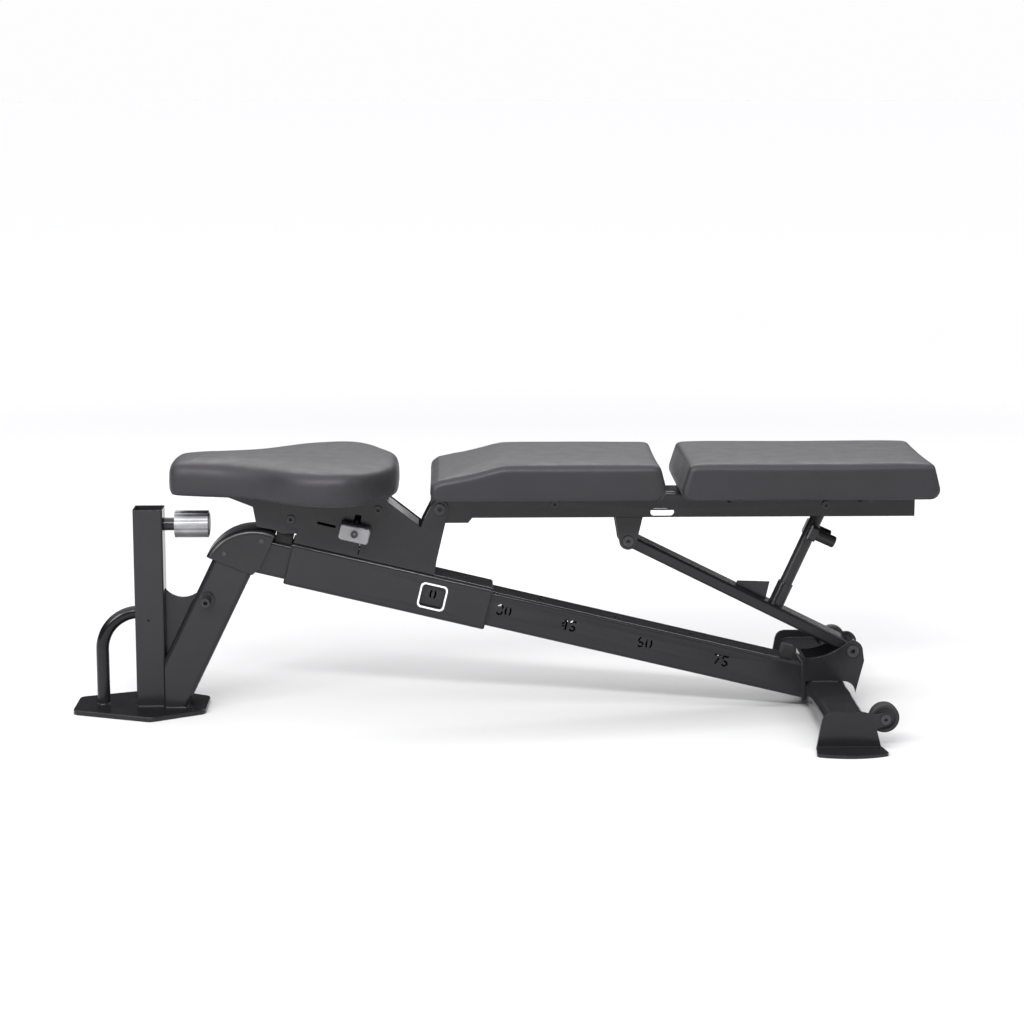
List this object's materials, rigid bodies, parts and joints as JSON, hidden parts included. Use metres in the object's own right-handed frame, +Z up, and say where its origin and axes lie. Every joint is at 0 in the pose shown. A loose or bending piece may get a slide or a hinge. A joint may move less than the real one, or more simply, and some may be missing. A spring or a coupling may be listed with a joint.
{
  "type": "adjustable weight bench",
  "caption": "Low adjustable weight bench: a carriage slides down a sloping beam and a rigid strut raises the backrest; seat and pads on top, wheeled rear foot.",
  "frame": {"origin": "on the floor under the middle of the bench's length, on the plane of symmetry", "axes": "+X from the front foot to the head end, +Y to the left of a person lying with their head at +X, +Z up"},
  "size_m": [1.454, 0.722, 0.441],
  "materials": {
    "powder_coat": "semi-gloss dark charcoal powder coat",
    "post_paint": "semi-gloss dark grey",
    "bright_plate": "bright plated",
    "black_plastic": "glossy moulded black",
    "rubber": "matt black rubber",
    "tyre": "matt black",
    "bolt_black": "black oxide",
    "silver": "satin silver",
    "steel": "bright steel",
    "white_mark": "white outline",
    "vinyl": "fine grained black vinyl",
    "plywood": "painted plywood"
  },
  "bodies": {
    "frame": {"base_plate": "powder_coat", "receiver_post": "powder_coat", "front_leg": "powder_coat", "post_gusset": "powder_coat", "lift_handle": "powder_coat", "leg_peg": "bolt_black", "pin_housing": "black_plastic", "main_beam": "powder_coat", "elbow_covers": "black_plastic", "elbow_screws": "bolt_black", "rear_bracket": "powder_coat", "rear_pivot_bolts": "bolt_black", "cross_tube": "powder_coat", "foot_plates": "powder_coat", "wheel_brackets": "powder_coat", "wheel_axles": "bolt_black", "end_bumper": "rubber", "front_bumper": "rubber", "receiver_spring": "steel"},
    "receiver_pin_body": {"receiver_pin": "steel", "receiver_knob": "silver"},
    "wheel_left_body": {"wheel_left": "tyre"},
    "wheel_right_body": {"wheel_right": "tyre"},
    "carriage": {"carriage_sleeve": "powder_coat", "sleeve_liners": "black_plastic", "carriage_plates": "powder_coat", "valley_cover": "bright_plate", "window_frames": "white_mark", "seat_bracket": "powder_coat", "seat_bolts": "bolt_black", "hinge_bolt": "bolt_black", "lock_guide": "powder_coat", "lock_spring": "steel", "seat_board": "plywood", "seat_pad": "vinyl"},
    "release": {"lock_pin": "steel", "release_link": "powder_coat", "release_bar": "steel", "release_grips": "silver", "grip_bolts": "bolt_black"},
    "backrest": {"back_rail": "powder_coat", "strut_lugs": "powder_coat", "lug_bolt": "bolt_black", "rail_bolt": "bolt_black", "rest_bolt": "bolt_black", "rest_block": "rubber", "pad_brackets": "powder_coat", "pad_screws": "bolt_black", "lower_back_board": "plywood", "lower_back_pad": "vinyl", "head_board": "plywood", "head_pad": "vinyl"},
    "strut_body": {"strut": "powder_coat", "strut_gusset": "powder_coat", "post_socket": "powder_coat", "support_post": "post_paint", "post_cap": "black_plastic", "peg_yoke": "powder_coat", "pegs": "black_plastic"}
  },
  "joints": [
    {"name": "carriage_slide", "type": "slide", "parent": "frame", "child": "carriage", "axis": [0.9724, 0, -0.2334], "range_m": [0, 0.505]},
    {"name": "back_hinge", "type": "hinge", "parent": "carriage", "child": "backrest", "pos_m": [-0.1026, 0, 0.3509], "axis": [0, -1, 0], "range_deg": [0, 75]},
    {"name": "strut_hinge", "type": "hinge", "parent": "backrest", "child": "strut_body", "pos_m": [0.2156, 0, 0.2935], "axis": [0, 1, 0], "range_deg": [0, 128.54]},
    {"name": "release_pull", "type": "slide", "parent": "carriage", "child": "release", "axis": [0.2334, 0, 0.9724], "range_m": [0, 0.014], "stiffness_N_per_m": 600, "springref_m": -0.012, "deforming": ["lock_spring"]},
    {"name": "receiver_pin_pull", "type": "slide", "parent": "frame", "child": "receiver_pin_body", "axis": [1, 0, 0], "range_m": [0, 0.012], "stiffness_N_per_m": 600, "springref_m": -0.008, "deforming": ["receiver_spring"]},
    {"name": "wheel_left_spin", "type": "hinge", "parent": "frame", "child": "wheel_left_body", "pos_m": [0.614, 0.288, 0.05], "axis": [0, 1, 0], "continuous": true},
    {"name": "wheel_right_spin", "type": "hinge", "parent": "frame", "child": "wheel_right_body", "pos_m": [0.614, -0.288, 0.05], "axis": [0, 1, 0], "continuous": true}
  ],
  "couplings": [
    {"joint": "back_hinge", "follows": "carriage_slide", "rad_per_m": 2.5921},
    {"joint": "strut_hinge", "follows": "carriage_slide", "rad_per_m": 4.4425}
  ]
}
